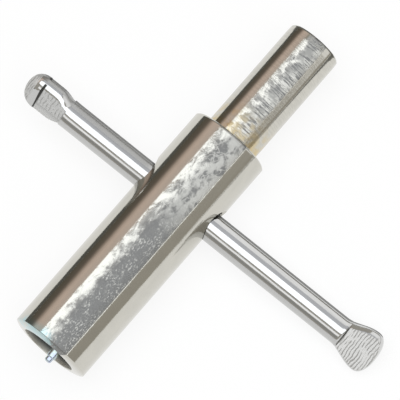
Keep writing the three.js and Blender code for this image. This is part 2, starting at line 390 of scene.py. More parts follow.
def apply_modifier(piece, modifier):
    """Applies one modifier to its piece."""
    make_active(piece)
    bpy.ops.object.modifier_apply(modifier=modifier.name)


def straight(start, end, radius, rings):
    """Evenly spaced profile points from one place on X to another, at one radius."""
    return [(start + (end - start) * i / rings, radius) for i in range(rings + 1)]


def draw_ring(name, sections, centre, segments):
    """Extrudes an open ring along X through (x, width, height) sections; the last ring stays selected."""
    x, width, height = sections[0]
    deselect_all()
    bpy.ops.mesh.primitive_circle_add(
        vertices=segments, radius=width / 2, location=(x, *centre), rotation=(0, math.pi / 2, 0)
    )
    piece = bpy.context.object
    piece.name = name
    apply_place(piece)
    bpy.ops.object.mode_set(mode="EDIT")
    bpy.ops.mesh.select_all(action="SELECT")
    for next_x, next_width, next_height in sections[1:]:
        bpy.ops.mesh.extrude_region_move(TRANSFORM_OT_translate={"value": (next_x - x, 0, 0)})
        bpy.ops.transform.resize(
            value=(1, next_width / width, next_height / height), center_override=(next_x, *centre)
        )
        x, width, height = next_x, next_width, next_height
    bpy.ops.object.mode_set(mode="OBJECT")
    return piece


def turn_rings(name, profile, centre, segments):
    """Turns an (x, radius) profile about an axis along X."""
    return draw_ring(name, [(x, 2 * radius, 2 * radius) for x, radius in profile], centre, segments)


def close_solid(piece):
    """Merges doubled points, fills open ends and turns the faces outwards."""
    make_active(piece)
    bpy.ops.object.mode_set(mode="EDIT")
    bpy.ops.mesh.select_all(action="SELECT")
    bpy.ops.mesh.remove_doubles(threshold=MERGE_DISTANCE)
    bpy.ops.mesh.fill_holes(sides=0)
    bpy.ops.mesh.select_all(action="SELECT")
    bpy.ops.mesh.normals_make_consistent(inside=False)
    bpy.ops.object.mode_set(mode="OBJECT")


def cut_away(piece, cutter):
    """Cuts one solid out of another and removes the cutter."""
    modifier = piece.modifiers.new("cut", "BOOLEAN")
    modifier.operation = "DIFFERENCE"
    modifier.solver = "EXACT"
    modifier.object = cutter
    apply_modifier(piece, modifier)
    bpy.data.objects.remove(cutter)


def drill(piece, name, centre, direction, depth, radius, segments):
    """Drills a round hole whose middle is at centre."""
    deselect_all()
    bpy.ops.mesh.primitive_cylinder_add(vertices=segments, radius=radius, depth=depth, location=centre)
    cutter = bpy.context.object
    cutter.name = name
    cutter.rotation_mode = "QUATERNION"
    cutter.rotation_quaternion = direction.to_track_quat("Z", "Y")
    apply_place(cutter)
    cut_away(piece, cutter)


def drill_across(piece, sizes, radius):
    """Drills the T-bar's hole right through a round piece of that radius."""
    centre = Vector((MOUTH + sizes.hole_height, *AXIS))
    hole = sizes.hole_diameter / 2
    drill(piece, "cross_drill", centre, BAR_ALONG, radius * DRILL_LENGTH, hole, HOLE_SEGMENTS)


def round_edges(piece, width):
    """Rounds the sharp edges of a piece a little."""
    modifier = piece.modifiers.new("edge", "BEVEL")
    modifier.width = width
    modifier.segments = EDGE_STEPS
    modifier.limit_method = "ANGLE"
    modifier.angle_limit = SMOOTH_ANGLE
    apply_modifier(piece, modifier)


def finish_piece(piece, body, node, material):
    """Smooths a piece, gives it its material and sets it on its body in place of its CAD node."""
    if not piece.data.polygons:
        raise RuntimeError(piece.name + " has no faces left")
    make_active(piece)
    bpy.ops.object.shade_smooth_by_angle(angle=SMOOTH_ANGLE)
    piece.data.materials.clear()
    piece.data.materials.append(material)
    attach(piece, body)
    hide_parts(node)


# Arms of the T-bar, drawn along X


def flare_at(share):
    """Share of its full width that a pad has at a share of its flare."""
    return math.sin(share * math.pi / 2) ** FLARE_CURVE


def tip_at(share):
    """Share of its full size that a rounded tip has at a share of its length."""
    return (1 - share**TIP_ROUNDNESS) ** (1 / TIP_ROUNDNESS)


def flare_sections(start, along, root, full, height):
    """Sections over which a pad widens from its root to its full width."""
    shares = [i / FLARE_STEPS for i in range(1, FLARE_STEPS + 1)]
    return [(start + along * share, root + (full - root) * flare_at(share), height) for share in shares]


def tip_sections(start, along, width, height):
    """Sections over which an arm rounds off to its tip."""
    return [(start + along * share, width * tip_at(share), height * tip_at(share)) for share in TIP_SHARES]


def draw_arm(name, sections, roll):
    """Draws one arm, closes its tip and turns it about X."""
    arm = draw_ring(name, sections, (0, 0), BAR_SEGMENTS)
    bpy.ops.object.mode_set(mode="EDIT")
    bpy.ops.mesh.edge_face_add()
    bpy.ops.object.mode_set(mode="OBJECT")
    arm.rotation_euler.x = roll
    apply_place(arm)
    return arm


def long_arm_blank(sizes):
    """The longer arm before pressing, its end flared to a fishtail."""
    bar = sizes.bar_diameter
    root = sizes.long_arm - sizes.long_pad
    widest = sizes.long_arm - sizes.long_pad_round
    sections = [(ARM_START, bar, bar), (root - ARM_SWELL, bar, bar)]
    for i in range(1, LONG_SWELL_STEPS + 1):
        share = i / LONG_SWELL_STEPS
        width = bar + (sizes.long_pad_root - bar) * share**2
        height = bar - LONG_DROP * (1 - math.sqrt(1 - share**4))
        sections.append((root - ARM_SWELL * (1 - share), width, height))
    sections += flare_sections(root, widest - root, sizes.long_pad_root, sizes.long_pad_width, bar)
    sections += tip_sections(widest, sizes.long_pad_round, sizes.long_pad_width, bar)
    return draw_arm("long_arm", sections, sizes.long_pad_roll)


def short_arm_blank(sizes):
    """The shorter arm before pressing, pointing the other way."""
    bar = sizes.bar_diameter
    root = sizes.short_arm - sizes.short_pad
    lip = sizes.short_arm - sizes.lip_length
    sections = [(ARM_START, bar, bar), (root - ARM_SWELL, bar, bar)]
    for i in range(1, SHORT_SWELL_STEPS + 1):
        share = i / SHORT_SWELL_STEPS
        width = bar + (sizes.short_pad_root - bar) * share**2
        sections.append((root - ARM_SWELL * (1 - share), width, bar))
    sections += flare_sections(root, sizes.short_pad_flare, sizes.short_pad_root, sizes.short_pad_width, bar)
    sections.append((lip, sizes.short_pad_width, bar))
    sections += tip_sections(lip, sizes.lip_length, sizes.short_pad_width, bar)
    arm = draw_arm("short_arm", sections, 0.0)
    arm.rotation_euler.z = math.pi
    apply_place(arm)
    arm.rotation_euler.x = sizes.short_pad_roll
    apply_place(arm)
    return arm


def join_arms(long_arm, short_arm):
    """Joins both arms to one bar and bridges the gap between their open rings."""
    make_active(long_arm)
    short_arm.select_set(True)
    bpy.ops.object.join()
    bar = bpy.context.object
    bar.name = "t_bar_rod"
    bpy.ops.object.mode_set(mode="EDIT")
    bpy.ops.mesh.select_mode(type="EDGE")
    bpy.ops.mesh.select_all(action="DESELECT")
    bpy.ops.mesh.select_non_manifold()
    bpy.ops.mesh.bridge_edge_loops()
    bpy.ops.mesh.select_all(action="SELECT")
    bpy.ops.mesh.normals_make_consistent(inside=False)
    bpy.ops.object.mode_set(mode="OBJECT")
    return bar


# Dies that press the pads


def wander(x, y, scale, seed):
    """Smooth noise over a pad's face."""
    return noise.noise(Vector((x * scale[0], y * scale[1], seed)))


def forged_height(x, y, seed):
    """Height of the wavy lines that the die leaves across a pad."""
    slow = SLOW_SHARE * wander(x, y, SLOW_WANDER, seed)
    fast = FAST_SHARE * wander(x, y, FAST_WANDER, seed + FAST_SEED)
    phase = (x + FORGED_BOW * y * y) / FORGED_PITCH + slow + fast
    depth = EVEN_DEPTH + UNEVEN_DEPTH * wander(x, y, DEPTH_WANDER, seed + DEPTH_SEED)
    return depth * math.sin(2 * math.pi * phase)


def die(start, end, height_at_start, height_at_end, seed, bulge):
    """A die over the bar: a wrinkled pressing face along X, closed upwards to a block."""
    along = end - start
    deselect_all()
    bpy.ops.mesh.primitive_grid_add(
        x_subdivisions=round(abs(along) / DIE_PITCH), y_subdivisions=round(DIE_ACROSS / DIE_PITCH / 2), size=1
    )
    block = bpy.context.object
    block.name = "die"
    block.scale = (abs(along), DIE_ACROSS, 1)
    block.location = ((start + end) / 2, 0, 0)
    apply_place(block)
    for point in block.data.vertices:
        share = (point.co.x - start) / along
        slope = height_at_start + (height_at_end - height_at_start) * share
        hump = bulge * 4 * share * (1 - share)
        point.co.z = slope + hump + forged_height(point.co.x, point.co.y, seed)
    bpy.ops.object.mode_set(mode="EDIT")
    bpy.ops.mesh.select_all(action="SELECT")
    bpy.ops.mesh.extrude_region_move(TRANSFORM_OT_translate={"value": (0, 0, DIE_DEEP)})
    bpy.ops.transform.resize(value=(1, 1, 0), center_override=(0, 0, DIE_DEEP))
    bpy.ops.mesh.select_all(action="SELECT")
    bpy.ops.mesh.normals_make_consistent(inside=False)
    bpy.ops.object.mode_set(mode="OBJECT")
    return block


def press(bar, start, end, thick, thin, roll, seed, bulge=0.0):
    """Presses the bar flat from both sides over a stretch of its length."""
    for side in (0, 1):
        block = die(start, end, thick / 2, thin / 2, seed + BACK_SEED * side, bulge)
        block.rotation_euler.x = roll + math.pi * side
        apply_place(block)
        cut_away(bar, block)


def press_long_pad(bar, sizes):
    """Presses the fishtail."""
    root = sizes.long_arm - sizes.long_pad
    end = sizes.long_arm + DIE_PAST
    press(bar, root, end, sizes.long_pad_thick, sizes.long_pad_thin, sizes.long_pad_roll, LONG_PAD_SEED)


def press_short_pad(bar, sizes):
    """Presses the lipped pad, less deep at its tip."""
    root = -(sizes.short_arm - sizes.short_pad)
    lip = -(sizes.short_arm - sizes.lip_length)
    end = -(sizes.short_arm + DIE_PAST)
    thick, roll = sizes.short_pad_thick, sizes.short_pad_roll
    press(bar, root, lip, thick, thick, roll, SHORT_PAD_SEED)
    press(bar, lip, end, sizes.lip_thick, sizes.lip_thick * LIP_TAPER, roll, LIP_SEED, LIP_BULGE)


# Shader nodes


def feed(tree, value, slot):
    """Links a socket to an input, or sets the input to a plain value."""
    if isinstance(value, bpy.types.NodeSocket):
        tree.links.new(value, slot)
    else:
        slot.default_value = value


def add(tree, kind, settings=None, inputs=None):
    """Adds a node with its settings; each of its inputs is a socket or a plain value."""
    new = tree.nodes.new(kind)
    for name, value in (settings or {}).items():
        setattr(new, name, value)
    for name, value in (inputs or {}).items():
        feed(tree, value, new.inputs[name])
    return new


def stretch(tree, source, low, high, start=0.0, end=1.0):
    """Maps a value from one range to another, with a smooth clamped step."""
    inputs = {"Value": source, "From Min": low, "From Max": high, "To Min": start, "To Max": end}
    return add(tree, "ShaderNodeMapRange", {"interpolation_type": "SMOOTHSTEP"}, inputs).outputs["Result"]


def calculate(tree, operation, first, second=0.0):
    """A sum, product or the like of two values."""
    return add(tree, "ShaderNodeMath", {"operation": operation}, {0: first, 1: second}).outputs[0]


def multiply(tree, first, *others):
    """Product of several values."""
    for other in others:
        first = calculate(tree, "MULTIPLY", first, other)
    return first


def largest(tree, first, *others):
    """Largest of several values."""
    for other in others:
        first = calculate(tree, "MAXIMUM", first, other)
    return first


def rest_of(tree, value):
    """What a value leaves of 1."""
    return calculate(tree, "SUBTRACT", 1.0, value)


def vector_step(tree, operation, first, second):
    """The node of a calculation with two vectors."""
    return add(tree, "ShaderNodeVectorMath", {"operation": operation}, {0: first, 1: second})


def share_along(tree, vector, direction):
    """How far a vector points along a direction."""
    return vector_step(tree, "DOT_PRODUCT", vector, direction).outputs["Value"]


def axes_of(tree, vector):
    """The three parts of a vector."""
    return add(tree, "ShaderNodeSeparateXYZ", inputs={0: vector}).outputs


def speckle(tree, vector, scale, **inputs):
    """Noise over a vector; the inputs are the node's other values."""
    return add(tree, "ShaderNodeTexNoise", inputs={"Vector": vector, "Scale": scale, **inputs}).outputs


def blend(tree, share, first, second):
    """Mixes two colours."""
    new = add(tree, "ShaderNodeMix", {"data_type": "RGBA"}, {0: share, 6: first, 7: second})
    return new.outputs[2]


def emboss(tree, shader, height, strength, depth):
    """Bumps a shader's surface by a height."""
    bump = add(tree, "ShaderNodeBump", inputs={"Strength": strength, "Distance": depth, "Height": height})
    tree.links.new(bump.outputs["Normal"], shader.inputs["Normal"])


# Wear that several materials share


def new_group(name, vectors, numbers, results):
    """Starts a node group and returns its tree, the sockets that come in and those that go out."""
    tree = bpy.data.node_groups.new(name, "ShaderNodeTree")
    for socket in vectors:
        tree.interface.new_socket(name=socket, in_out="INPUT", socket_type="NodeSocketVector")
    for socket in numbers:
        tree.interface.new_socket(name=socket, in_out="INPUT", socket_type="NodeSocketFloat")
    for socket in results:
        tree.interface.new_socket(name=socket, in_out="OUTPUT", socket_type="NodeSocketFloat")
    return tree, tree.nodes.new("NodeGroupInput").outputs, tree.nodes.new("NodeGroupOutput").inputs


def clouds_group():
    """Soft clouds of wear, with a finer grain in them."""
    tree, given, result = new_group("Wear clouds", ["Vector"], ["Scale"], ["Cloud", "Grain"])
    coarse = speckle(tree, given["Vector"], given["Scale"], Detail=5.0, Roughness=0.56, Distortion=0.3)
    finer = multiply(tree, given["Scale"], 7.0)
    fine = speckle(tree, given["Vector"], finer, Detail=3.0, Roughness=0.6)
    tree.links.new(stretch(tree, coarse["Fac"], 0.36, 0.64), result["Cloud"])
    tree.links.new(stretch(tree, fine["Fac"], 0.3, 0.7), result["Grain"])
    return tree


def side_group():
    """How far a point round the X axis faces a given way, from 0 at Wide to 1 at Narrow (both cosines)."""
    vectors = ["Vector", "Towards"]
    numbers = ["Wide", "Narrow", "Shift"]
    tree, given, result = new_group("Facing side", vectors, numbers, ["Mask"])
    flat = vector_step(tree, "MULTIPLY", given["Vector"], (0, 1, 1))
    unit = add(tree, "ShaderNodeVectorMath", {"operation": "NORMALIZE"}, {0: flat.outputs[0]})
    facing = share_along(tree, unit.outputs[0], given["Towards"])
    shifted = calculate(tree, "ADD", facing, given["Shift"])
    tree.links.new(stretch(tree, shifted, given["Wide"], given["Narrow"]), result["Mask"])
    return tree


def rings_group():
    """Fine broken scratches round the X axis."""
    tree, given, result = new_group("Ring scratches", ["Vector"], ["Pitch"], ["Mask"])
    squeeze = add(
        tree, "ShaderNodeCombineXYZ", inputs={"X": given["Pitch"], "Y": RING_SPREAD, "Z": RING_SPREAD}
    )
    scaled = vector_step(tree, "MULTIPLY", given["Vector"], squeeze.outputs[0])
    lines = speckle(tree, scaled.outputs[0], 1.0, Detail=3.0, Roughness=0.65)
    tree.links.new(stretch(tree, lines["Fac"], 0.46, 0.57), result["Mask"])
    return tree


def scribble_group():
    """Thin curled scratches that wander over the surface."""
    tree, given, result = new_group("Scribbles", ["Vector"], ["Scale"], ["Mask"])
    drift = speckle(tree, given["Vector"], 420.0, Detail=2.0)
    spread = add(tree, "ShaderNodeVectorMath", {"operation": "SCALE"}, {0: drift["Color"], "Scale": 0.004})
    bent = vector_step(tree, "ADD", given["Vector"], spread.outputs[0])
    cells = add(
        tree, "ShaderNodeTexVoronoi", {"feature": "DISTANCE_TO_EDGE"},
        {"Vector": bent.outputs[0], "Scale": given["Scale"]},
    )
    tree.links.new(stretch(tree, cells.outputs["Distance"], 0.0, 0.07, 1.0, 0.0), result["Mask"])
    return tree


def forged_group():
    """Wavy forged lines across X."""
    tree, given, result = new_group("Forged lines", ["Vector"], ["Scale"], ["Mask"])
    wave = add(
        tree, "ShaderNodeTexWave", {"wave_type": "BANDS", "bands_direction": "X", "wave_profile": "SIN"},
        {
            "Vector": given["Vector"], "Scale": given["Scale"], "Distortion": 7.0, "Detail": 2.5,
            "Detail Scale": 0.5, "Detail Roughness": 0.6,
        },
    )
    gaps = speckle(tree, given["Vector"], 420.0, Detail=1.0)
    thin = stretch(tree, wave.outputs["Fac"], 0.03, 0.38, 1.0, 0.0)
    broken = stretch(tree, gaps["Fac"], 0.28, 0.5)
    tree.links.new(multiply(tree, thin, broken), result["Mask"])
    return tree


GROUPS = {
    "Wear clouds": clouds_group,
    "Facing side": side_group,
    "Ring scratches": rings_group,
    "Scribbles": scribble_group,
    "Forged lines": forged_group,
}


def use_group(tree, name, inputs):
    """Places a shared group in a material, making the group on its first use."""
    group = bpy.data.node_groups.get(name) or GROUPS[name]()
    return add(tree, "ShaderNodeGroup", {"node_tree": group}, inputs).outputs


def worn_band(tree, place, view, shift, band):
    """Mask of a band along the key; its left and right are where it fades, as shares of the radius across."""
    left, right = band
    sides = (
        {"Towards": toward(view, 90), "Wide": left[0], "Narrow": left[1], "Shift": shift},
        {"Towards": toward(view, -90), "Wide": -right[1], "Narrow": -right[0]},
        {"Towards": toward(view, 0), "Wide": FRONT[0], "Narrow": FRONT[1]},
    )
    masks = [use_group(tree, "Facing side", {"Vector": place, **side})["Mask"] for side in sides]
    return multiply(tree, *masks)


# Materials


def metal(name):
    """Starts a metal material and returns it with its tree, its shader's inputs and the coordinates."""
    material = bpy.data.materials.new(name)
    material.use_nodes = True
    tree = material.node_tree
    shader = tree.nodes["Principled BSDF"]
    shader.inputs["Metallic"].default_value = 1.0
    return material, tree, shader, tree.nodes.new("ShaderNodeTexCoord").outputs


def centred(tree, coordinates, centre, turn=(0, 0, 0)):
    """Object coordinates from a point of the piece, turned where asked."""
    inputs = {"Vector": coordinates["Object"], "Location": centre, "Rotation": turn}
    return add(tree, "ShaderNodeMapping", {"vector_type": "TEXTURE"}, inputs).outputs[0]


def scaled_by(tree, vector, scale):
    """A vector stretched along its axes."""
    return add(tree, "ShaderNodeMapping", inputs={"Vector": vector, "Scale": scale}).outputs[0]


def toward(view, degrees):
    """A direction round the barrel, from the side that faces the camera."""
    turn = math.radians(degrees)
    return math.cos(turn) * view["facing"] + math.sin(turn) * view["across"]


def bore_mask(tree, sizes, parts):
    """Mask of the socket's inside."""
    across = add(tree, "ShaderNodeCombineXYZ", inputs={"Y": parts["Y"], "Z": parts["Z"]})
    radius = add(tree, "ShaderNodeVectorMath", {"operation": "LENGTH"}, {0: across.outputs[0]})
    low, high = (sizes.bore_diameter / 2 + skin for skin in BORE_SKIN)
    inside = stretch(tree, radius.outputs["Value"], low, high, 1.0, 0.0)
    return multiply(tree, inside, stretch(tree, parts["X"], 0.0, BORE_START))


def barrel_material(sizes, finish, view):
    """Nickel plating: bright, scuffed grey along one side, stained at the mouth, with painted shade deep in
    the bore.
    """
    material, tree, shader, coordinates = metal("scuffed_plating")
    place = centred(tree, coordinates, (MOUTH, *AXIS))
    parts = axes_of(tree, place)
    streak = scaled_by(tree, place, BARREL_STREAK)
    wear = use_group(tree, "Wear clouds", {"Vector": streak, "Scale": BARREL_CLOUDS})
    lift = multiply(tree, calculate(tree, "SUBTRACT", wear["Cloud"], 0.5), BARREL_RAGGED)
    band = worn_band(tree, place, view, lift, BARREL_BAND)

    # Bright places left in the scuffed band.
    upper = stretch(tree, parts["X"], *UPPER_WEAR)
    grain = stretch(tree, wear["Grain"], 0.6, 0.85)
    specks = multiply(tree, grain, SPECK_SHARE, stretch(tree, wear["Cloud"], 0.2, 0.9, 1.0, 0.1))
    patches = multiply(tree, stretch(tree, wear["Cloud"], 0.3, 0.9, PATCH_SHARE, 0.0), upper)
    scribbles = use_group(tree, "Scribbles", {"Vector": place, "Scale": SCRIBBLE_SCALE})
    curls = multiply(tree, scribbles["Mask"], upper, CURL_SHARE)
    bare = largest(tree, specks, patches, curls)
    worn = multiply(tree, band, rest_of(tree, bare))
    worn = largest(tree, worn, multiply(tree, wear["Cloud"], FAINT_WEAR))

    # Stain at the mouth and the dark bore.
    wide, narrow = (math.cos(math.radians(spread)) for spread in STAIN_SPREAD)
    stain_side = use_group(
        tree, "Facing side",
        {"Vector": place, "Towards": toward(view, STAIN_TURN), "Wide": wide, "Narrow": narrow, "Shift": lift},
    )
    stain = multiply(tree, stain_side["Mask"], stretch(tree, parts["X"], *STAIN_HEIGHT, 1.0, 0.0))
    # Stain at the mouth, and painted shade that darkens the bore deeper in.
    inside = bore_mask(tree, sizes, parts)
    # Painted shade: the bore darkens to the bore colour over its first millimetres.
    deep = multiply(tree, inside, stretch(tree, parts["X"], 0.0, BORE_SHADE))

    tint = blend(tree, worn, finish.plating, finish.worn)
    tint = blend(tree, stain, tint, finish.stain)
    tint = blend(tree, deep, tint, finish.bore)
    tree.links.new(tint, shader.inputs["Base Color"])
    rough = stretch(tree, worn, 0.0, 1.0, POLISHED, SCUFFED)
    rough = calculate(tree, "ADD", rough, multiply(tree, inside, BORE_ROUGHER))
    tree.links.new(rough, shader.inputs["Roughness"])
    relief = multiply(tree, calculate(tree, "ADD", wear["Grain"], wear["Cloud"]), worn)
    emboss(tree, shader, relief, *BARREL_RELIEF)
    return material


def shank_material(finish, view):
    """Nickel plating with fine scratches round it and a brown cast above the barrel."""
    material, tree, shader, coordinates = metal("scratched_plating")
    place = centred(tree, coordinates, (BARREL_HIGH.x, *AXIS))
    wear = use_group(tree, "Wear clouds", {"Vector": place, "Scale": STUB_CLOUDS})
    lift = multiply(tree, calculate(tree, "SUBTRACT", wear["Cloud"], 0.5), STUB_RAGGED)
    band = worn_band(tree, place, view, lift, STUB_BAND)
    rings = use_group(tree, "Ring scratches", {"Vector": place, "Pitch": RING_PITCH})
    haze = calculate(tree, "ADD", multiply(tree, wear["Cloud"], CLOUDED_HAZE), EVEN_HAZE)
    worn = multiply(tree, band, largest(tree, rings["Mask"], haze))
    worn = largest(tree, worn, multiply(tree, rings["Mask"], FAINT_RINGS))
    foot = stretch(tree, axes_of(tree, place)["X"], *STRAW_FOOT, STRAW_SHARE, 0.0)
    tint = blend(tree, worn, finish.plating, finish.worn)
    tint = blend(tree, multiply(tree, foot, wear["Cloud"]), tint, finish.straw)
    tree.links.new(tint, shader.inputs["Base Color"])
    tree.links.new(stretch(tree, worn, 0.0, 1.0, *STUB_ROUGHNESS), shader.inputs["Roughness"])
    emboss(tree, shader, worn, *STUB_RELIEF)
    return material


Pad = namedtuple("Pad", "side root end roll lines plain_from crease_at crease_facing")


def pads_of(sizes):
    """Both pads: side of the bar, where they start and end, their turn, their lines and their crease."""
    long_root = sizes.long_arm - sizes.long_pad
    short_root = sizes.short_arm - sizes.short_pad
    lip = sizes.short_arm - sizes.lip_length
    return (
        Pad(
            1, long_root, sizes.long_arm, sizes.long_pad_roll, LONG_PAD_LINES, -sizes.long_pad_width,
            long_root, FLAT_FACING,
        ),
        Pad(
            -1, short_root, lip, sizes.short_pad_roll, SHORT_PAD_LINES, SHORT_PAD_PLAIN,
            lip, SIDE_FACING,
        ),
    )


def pad_marks(tree, coordinates, local, pad):
    """Masks of a pad's struck face, of the lines and the shade on it, and of the painted shade in its crease.
    """
    face = BAR_TURN @ Vector((0, -math.sin(pad.roll), math.cos(pad.roll)))
    facing = calculate(tree, "ABSOLUTE", share_along(tree, coordinates["Normal"], face))
    along = share_along(tree, local, (pad.side, 0, 0))
    width = share_along(tree, local, (0, math.cos(pad.roll), math.sin(pad.roll)))
    from_root = stretch(tree, along, pad.root - PAD_STEP, pad.root + PAD_STEP)
    to_end = stretch(tree, along, pad.end - PAD_STEP, pad.end + PAD_STEP, 1.0, 0.0)
    flat = multiply(tree, stretch(tree, facing, *FLAT_FACING), from_root)
    struck = multiply(tree, flat, to_end)

    # Lines on the upper part of the face, painted shade towards the plain part below it.
    plain = stretch(tree, width, pad.plain_from - PLAIN_FADE, pad.plain_from + PLAIN_FADE, 1.0, 0.0)
    forged = use_group(tree, "Forged lines", {"Vector": local, "Scale": pad.lines})
    lined = stretch(tree, forged["Mask"], 0, 1, *PAD_LINE_SHARES)
    lined = multiply(tree, lined, struck, rest_of(tree, plain))
    # Painted shade: the pad darkens towards its plain lower part.
    shade = stretch(tree, width, pad.plain_from - PLAIN_SHADE, pad.plain_from, 0.0, PLAIN_SHADE_SHARE)
    shade = multiply(tree, shade, struck, plain)

    # Painted shade in the crease, wider towards one side of the pad.
    away = calculate(tree, "ABSOLUTE", calculate(tree, "SUBTRACT", along, pad.crease_at))
    away = calculate(tree, "SUBTRACT", away, stretch(tree, width, *CREASE_SPAN, 0.0, CREASE_WIDENS))
    reach = multiply(tree, stretch(tree, facing, *pad.crease_facing), from_root)
    crease = multiply(tree, stretch(tree, away, *CREASE_EDGE, 1.0, 0.0), reach)
    return struck, largest(tree, lined, shade), crease


def bar_wear_and_shade(tree, coordinates, local):
    """Faint drawn lines and wear, with painted shade along the bar's edge, along its back and on the shorter
    arm's upper side.
    """
    wear = use_group(tree, "Wear clouds", {"Vector": local, "Scale": BAR_CLOUDS})
    lines = speckle(tree, scaled_by(tree, local, DRAWN_LINES), 1.0, Detail=2.0)
    faint = multiply(tree, stretch(tree, lines["Fac"], 0.5, 0.66), DRAWN_SHARE)
    side = share_along(tree, coordinates["Normal"], BAR_ACROSS)
    # Painted shade: darker along the edge that faces across and along the back, and on one side of the
    # shorter arm.
    painted_edge_shade = stretch(tree, side, *PAINTED_EDGE_SHADE, 0.0, PAINTED_EDGE_SHADE_SHARE)
    painted_back_shade = stretch(tree, side, *PAINTED_BACK_SHADE, PAINTED_BACK_SHADE_SHARE, 0.0)
    # Painted shade on the shorter arm's upper side.
    shorter_arm = stretch(tree, axes_of(tree, local)["X"], *SHORT_ARM_SHADE_FROM, SHORT_ARM_SHADE_SHARE, 0.0)
    short_arm_shade = multiply(tree, stretch(tree, side, *SHORT_ARM_SHADE_SIDE), shorter_arm)
    return largest(tree, faint, multiply(tree, wear["Cloud"], FAINT_WEAR), painted_edge_shade, painted_back_shade, short_arm_shade)


def bar_material(sizes, finish):
    """Drawn bar with faint lines along it, forged lines on both pads, painted shade at their steps and
    painted shade along its edges.
    """
    material, tree, shader, coordinates = metal("drawn_bar")
    local = centred(tree, coordinates, (MOUTH + sizes.cross_height, *AXIS), BAR_TURN.to_euler())
    struck, marks_and_shade, creases = zip(*(pad_marks(tree, coordinates, local, pad) for pad in pads_of(sizes)))
    # Painted shade in the pads' creases.
    crease_shade = largest(tree, *creases)

    # The sheared tip of the shorter arm.
    cut_end = SHEARED_LENGTH - sizes.short_arm
    along = axes_of(tree, local)["X"]
    sheared = stretch(tree, along, cut_end - SHEARED_FADE, cut_end + SHEARED_FADE, 1.0, 0.0)
    hatch = use_group(tree, "Forged lines", {"Vector": local, "Scale": SHEARED_LINES})
    hatched = multiply(tree, sheared, stretch(tree, hatch["Mask"], 0, 1, *SHEARED_LINE_SHARES))

    # Wear and marks darken the bar towards the worn colour, together with painted shade along its edges, at
    # the pads' plain parts and in their creases.
    worn = largest(tree, bar_wear_and_shade(tree, coordinates, local), hatched, *marks_and_shade)
    tint = blend(tree, worn, finish.bar, finish.worn)
    tint = blend(tree, crease_shade, tint, finish.crease_shade)
    tree.links.new(tint, shader.inputs["Base Color"])
    matt = largest(tree, multiply(tree, largest(tree, *struck), PAD_MATT), sheared)
    tree.links.new(stretch(tree, matt, 0.0, 1.0, 1.0, LEAST_METALLIC), shader.inputs["Metallic"])
    rough = largest(tree, worn, sheared, crease_shade)
    tree.links.new(stretch(tree, rough, 0.0, 1.0, POLISHED, SCUFFED), shader.inputs["Roughness"])
    emboss(tree, shader, rest_of(tree, worn), *BAR_RELIEF)
    return material


def patchy_metal(name, centre, scale, first, second, roughness):
    """Metal of two colours in soft patches, between two roughnesses."""
    material, tree, shader, coordinates = metal(name)
    wear = use_group(tree, "Wear clouds", {"Vector": centred(tree, coordinates, centre), "Scale": scale})
    tree.links.new(blend(tree, wear["Cloud"], first, second), shader.inputs["Base Color"])
    tree.links.new(stretch(tree, wear["Grain"], 0.0, 1.0, *roughness), shader.inputs["Roughness"])
    return material


def zinc(finish):
    """Zinc of the pin, with a blue and green cast."""
    centre = (MOUTH, *PIN_AXIS)
    colours = (finish.zinc_blue, finish.zinc_green)
    return patchy_metal("passivated_zinc", centre, ZINC_CLOUDS, *colours, ZINC_ROUGHNESS)


def oiled_steel(name, finish, scale):
    """Oiled steel of the pieces inside."""
    return patchy_metal(name, (0, 0, 0), scale, finish.steel, finish.steel_dark, OILED_ROUGHNESS)


# Studio


def studio_axes(studio):
    """Directions that the studio is set out by: facing the camera, across the barrel and along it."""
    side = Vector((0, -math.cos(LEAN), -math.sin(LEAN)))
    facing = math.cos(studio.swing) * BAR_UP + math.sin(studio.swing) * side
    across = math.cos(studio.swing) * side - math.sin(studio.swing) * BAR_UP
    camera = math.cos(studio.tilt) * facing - math.sin(studio.tilt) * ALONG
    return {"facing": facing, "across": across, "camera": camera.normalized()}


def make_camera(view):
    """A long lens that sees the key at the photograph's angle."""
    to_camera = view["camera"]
    along = (ALONG - ALONG.dot(to_camera) * to_camera).normalized()
    right = math.cos(AXIS_SLOPE) * along + math.sin(AXIS_SLOPE) * view["across"]
    up = math.sin(AXIS_SLOPE) * along - math.cos(AXIS_SLOPE) * view["across"]
    crossing = Vector((MOUTH + CROSSING_HEIGHT, *AXIS))
    half = IMAGE_SIZE / 2
    aim = crossing + right * (half - CROSSING_AT[0]) * PIXEL - up * (half - CROSSING_AT[1]) * PIXEL
    distance = IMAGE_SIZE * PIXEL * LENS / SENSOR
    bpy.ops.object.camera_add()
    camera = bpy.context.object
    camera.name = "photo_camera"
    camera.data.lens = LENS
    camera.data.sensor_width = SENSOR
    camera.data.clip_end = CLIP_END
    place = Matrix((right, up, to_camera)).transposed().to_4x4()
    place.translation = aim + to_camera * distance
    camera.matrix_world = place
    bpy.context.scene.camera = camera


def bare_material(name):
    """A material with an empty tree."""
    material = bpy.data.materials.new(name)
    material.use_nodes = True
    material.node_tree.nodes.clear()
    return material, material.node_tree


def make_floor():
    """A plain pale floor that is white to the camera and keeps a soft shadow."""
    deselect_all()
    bpy.ops.mesh.primitive_plane_add(size=FLOOR_SIZE, location=(0, 0, 0))
    floor = bpy.context.object
    floor.name = "floor"
    material, tree = bare_material("white_floor")
    path = tree.nodes.new("ShaderNodeLightPath").outputs
    seen = largest(tree, path["Is Camera Ray"], path["Is Glossy Ray"], path["Is Transmission Ray"])
    diffuse = add(tree, "ShaderNodeBsdfDiffuse", inputs={"Color": FLOOR_COLOUR})
    glow = add(tree, "ShaderNodeEmission", inputs={"Strength": 1.0})
    shares = {0: multiply(tree, seen, FLOOR_GLOW), 1: diffuse.outputs[0], 2: glow.outputs[0]}
    mix = add(tree, "ShaderNodeMixShader", inputs=shares)
    add(tree, "ShaderNodeOutputMaterial", inputs={0: mix.outputs[0]})
    floor.data.materials.append(material)


